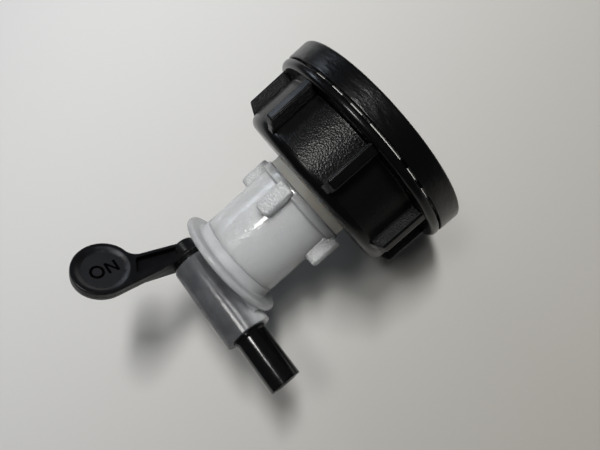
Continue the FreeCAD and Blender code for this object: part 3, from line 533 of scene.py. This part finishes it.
lay_along_x = np.array([[0, 0, 1], [0, 1, 0], [-1, 0, 0]])
ring_radius = 5.40
section_radius = 0.53
for name, place in (("upper_o_ring", 6.9), ("lower_o_ring", -16.5)):
    section = np.linspace(0, 2 * np.pi, 24, endpoint=False)
    circle = np.stack([ring_radius + section_radius * np.cos(section),
                       section_radius * np.sin(section)], -1)
    seal = piece(name + "_rubber", [placed(spun(circle, 96), lay_along_x, (place, 0, AXIS))])
    paint = Paint("nitrile_" + name)
    bloom = paint.noise(700.0, 4.0)
    seal.data.materials.append(paint.done(paint.coat(
        Base_Color=paint.tint(bloom, (0.018, 0.018, 0.018, 1), (0.035, 0.035, 0.035, 1)),
        Roughness=0.45 + bloom * 0.15, Normal=paint.relief(bloom, 0.00002))))
    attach(seal, "spout_plug")
    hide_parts(name)

# Lever: satin black polypropylene, moulded with a line round the middle of its edge. It sits on
# the plug's square; its arm is cored out and its finger pad is dished and marked ON.


def carved(made, cutters):
    """The same object with closed parts cut out of it by an exact Boolean."""
    tool = piece("letter_punches", cutters)
    cut = made.modifiers.new("cut", "BOOLEAN")
    cut.operation = "DIFFERENCE"
    cut.solver = "EXACT"
    cut.object = tool
    bpy.context.view_layer.update()
    result = made.evaluated_get(bpy.context.evaluated_depsgraph_get())
    mesh = bpy.data.meshes.new_from_object(result)
    made.modifiers.remove(cut)
    made.data = mesh
    bpy.data.objects.remove(tool)
    mesh.set_sharp_from_angle(angle=np.radians(SHARP))
    return made


# The lever's own axes: x along the chamber, l along the lever and t out of its marked face.
lean = np.radians(135)
lever_axes = np.array([[1, 0, 0], [0, np.cos(lean), -np.sin(lean)],
                       [0, np.sin(lean), np.cos(lean)]])
# The letters are punched below the dish's floor at t = 0.7. The O is two ellipses, and the N one
# outline with its foot at x = 19.1, running from l = 29 towards the hub.
punch_end = 0.25
punch_top = 1.6
around = np.linspace(0, 2 * np.pi, 64, endpoint=False)
rings = [np.stack([21.5 + tall * np.cos(around), 32.1 + wide * np.sin(around),
                   np.full(len(around), level)], -1)
         for tall, wide, level in ((2.6, 2.45, punch_end), (2.6, 2.45, punch_top),
                                   (1.65, 1.5, punch_top), (1.65, 1.5, punch_end))]
punch_o = (np.concatenate(rings), [quads(len(rings), len(around))])
stroke = np.array([(0, 0), (0.95, 0), (0.95, 3.0), (3.05, 0), (4, 0), (4, 4.5), (3.05, 4.5),
                   (3.05, 1.5), (0.95, 4.5), (0, 4.5)])
letter_n = np.stack([19.1 + stroke[:, 1], 29.0 - stroke[:, 0]], -1)
punch_n = placed(slab(letter_n, (punch_top - punch_end) / 2, 0.0001, steps=1), np.eye(3),
                 (0, 0, (punch_top + punch_end) / 2))
lever = flattened(carved(piece("lever_moulding", [from_solid("lever")], SHARP), [
    placed(punch, lever_axes, (0, 0, AXIS)) for punch in (punch_o, punch_n)]))

paint = Paint("black_satin_polypropylene")
skin = paint.noise(1400.0, 4.0, 0.6)
rub = paint.noise(200.0, 5.0, 0.65)
y, z = paint.axes()[1:]
above = z - AXIS * MM
# The lever leans at 45 degrees; its pad's centre is 30 mm along it and 1.1 mm out of its middle.
slant = 0.70711
pad_centre = (0.0217, -0.0220132, 0.1023132)
along = y * -slant + above * slant
outward = (y + above) * -slant
part_line = outward.step(-0.00062, -0.00048) * (1 - outward.step(-0.00032, -0.00018))
from_pad = paint.add("ShaderNodeVectorMath", {"operation": "DISTANCE"},
                     {0: paint.place, 1: pad_centre}, out="Value")
lip = from_pad.step(0.0067, 0.0073) * (1 - from_pad.step(0.0085, 0.0090))
lip = lip * (1 - along.step(0.026, 0.033)) * outward.step(0.0005, 0.0008)
# Patches of the dish's lip on the hub side are tinted lighter and made rougher.
lip_patches = lip * rub.step(0.30, 0.60)
dish = (1 - from_pad.step(0.0068, 0.0074)) * outward.step(-0.0020, -0.0015)
sunk = dish * (1 - outward.step(0.00036, 0.00058))
lever.data.materials.clear()
# The dish's floor is tinted lighter and bluish: a painted sheen.
satin = paint.coat(
    Base_Color=paint.tint(rub * 0.12 + dish * 0.22 + lip_patches * 0.8, (0.0016, 0.0016, 0.0019, 1),
                          (0.036, 0.038, 0.044, 1)),
    Roughness=0.28 + rub * 0.12 + lip_patches * 0.10 + dish * 0.08,
    Normal=paint.relief(1 - part_line, 0.00050, paint.relief(skin, 0.00003)), IOR=1.5)
# Painted shade: a dull near-black in the floors of the punched letters and in the parting line's
# groove.
painted_shade = paint.coat(Base_Color=(0.0008, 0.0008, 0.0009, 1), Roughness=0.85,
                   Specular_IOR_Level=0.05)
lever.data.materials.append(paint.done(paint.add(
    "ShaderNodeMixShader", {}, {0: sunk + part_line * 0.8, 1: satin, 2: painted_shade})))
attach(lever, "spout_plug")
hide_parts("lever")

# Table: an off-white board just behind the cap, on which the cap and the spout rest. It is
# painted darker and warmer across it: a painted falloff of the light and a painted shadow. It is
# only a backdrop, so it fades out at its rim and isn't seen from behind.

table_depth = 0.041
table_half = 0.9
table_mesh = bpy.data.meshes.new("table_top")
table_mesh.from_pydata([(x * table_half, table_depth, z * table_half)
                        for x, z in ((-1, -1), (1, -1), (1, 1), (-1, 1))], [], [(0, 1, 2, 3)])
table = bpy.data.objects.new("table_top", table_mesh)
bpy.context.scene.collection.objects.link(table)
table.visible_shadow = False
paint = Paint("off_white_board_painted_falloff")
x, z = paint.axes()[::2]
distance = paint.add("ShaderNodeVectorMath", {"operation": "LENGTH"}, {0: paint.place},
                     out="Value")
fade = 1 - distance.step(0.35, 0.75)
back = paint.add("ShaderNodeNewGeometry", out="Backfacing")
# Painted falloff and painted shadow: the board's colour darkens and warms along this direction.
away = (x * -0.932 + z * -0.362).step(-0.23, 0.17)
board = paint.coat(Base_Color=paint.tint(away, (0.68, 0.68, 0.675, 1), (0.345, 0.335, 0.305, 1)),
                   Roughness=0.7)
clear = paint.add("ShaderNodeBsdfTransparent")
table_mesh.materials.append(paint.done(paint.add(
    "ShaderNodeMixShader", {}, {0: fade * (1 - back), 1: clear, 2: board})))

# Light: a lamp up and left of the camera, small for the gloss and wider for the shading, a soft
# lamp and a tall window above the camera for the shading and the long shadows, a bluish window
# far up to the left, and a dim, pale room.

look = Vector((0.2864, 0.95657, 0.05435))
upward = Vector((0.72721, -0.18010, -0.66236))
side = look.cross(upward).normalized()
upward = side.cross(look).normalized()


def lamp(name, aim, distance, wide, high, power, colour, gives="all"):
    """A rectangular lamp in a direction (right, up, towards the camera) of the picture.

    Its distance and its width and height are in metres and its power in watts. It gives the
    gloss, the shading or all of both, so that each can have its own size and place.
    """
    data = bpy.data.lights.new(name, "AREA")
    data.shape = "RECTANGLE"
    data.size = wide
    data.size_y = high
    data.energy = power
    data.color = colour
    made = bpy.data.objects.new(name, data)
    bpy.context.scene.collection.objects.link(made)
    away = (side * aim[0] + upward * aim[1] - look * aim[2]).normalized()
    level = upward.cross(away).normalized()
    made.matrix_world = Matrix.Translation(Vector((0, 0, 0.05)) + away * distance) @ Matrix(
        (level, away.cross(level), away)).transposed().to_4x4()
    made.visible_glossy = gives != "shading"
    made.visible_diffuse = gives != "gloss"


up_left = (-0.35, 0.27, 0.90)
warm = (1.0, 0.985, 0.955)
lamp("small_lamp", up_left, 0.60, 0.10, 0.12, 1.15, warm, "gloss")
lamp("left_lamp", up_left, 0.80, 0.16, 0.20, 1.10, warm, "shading")
lamp("soft_lamp", (0.02, 0.33, 0.94), 1.60, 0.24, 0.30, 3.5, warm, "shading")
lamp("tall_window", (-0.02, 0.52, 0.85), 0.80, 0.09, 0.24, 5.7, (1.0, 0.99, 0.985), "shading")
lamp("far_window", (-0.66, 0.74, 0.12), 1.00, 0.13, 0.35, 1.0, (0.78, 0.87, 1.0))

world = bpy.data.worlds.new("dim_room")
bpy.context.scene.world = world
world.use_nodes = True
tree = world.node_tree
tree.nodes["Background"].inputs["Color"].default_value = (0.90, 0.94, 1.0, 1)
tree.nodes["Background"].inputs["Strength"].default_value = 0.04

# Camera: where the photograph was taken from, found by fitting the circles of ring, cap, barrel,
# flange and lever.

lens = bpy.data.cameras.new("camera")
lens.lens = 26.88
lens.sensor_width = 36.0
lens.clip_start = 0.01
lens.clip_end = 20.0
camera = bpy.data.objects.new("camera", lens)
bpy.context.scene.collection.objects.link(camera)
turned = Matrix((side, upward, -look)).transposed()
camera_place = Vector((-0.052802, -0.154756, 0.034317))
camera.matrix_world = Matrix.Translation(camera_place) @ turned.to_4x4()
bpy.context.scene.camera = camera
bpy.context.scene.view_settings.view_transform = "Standard"
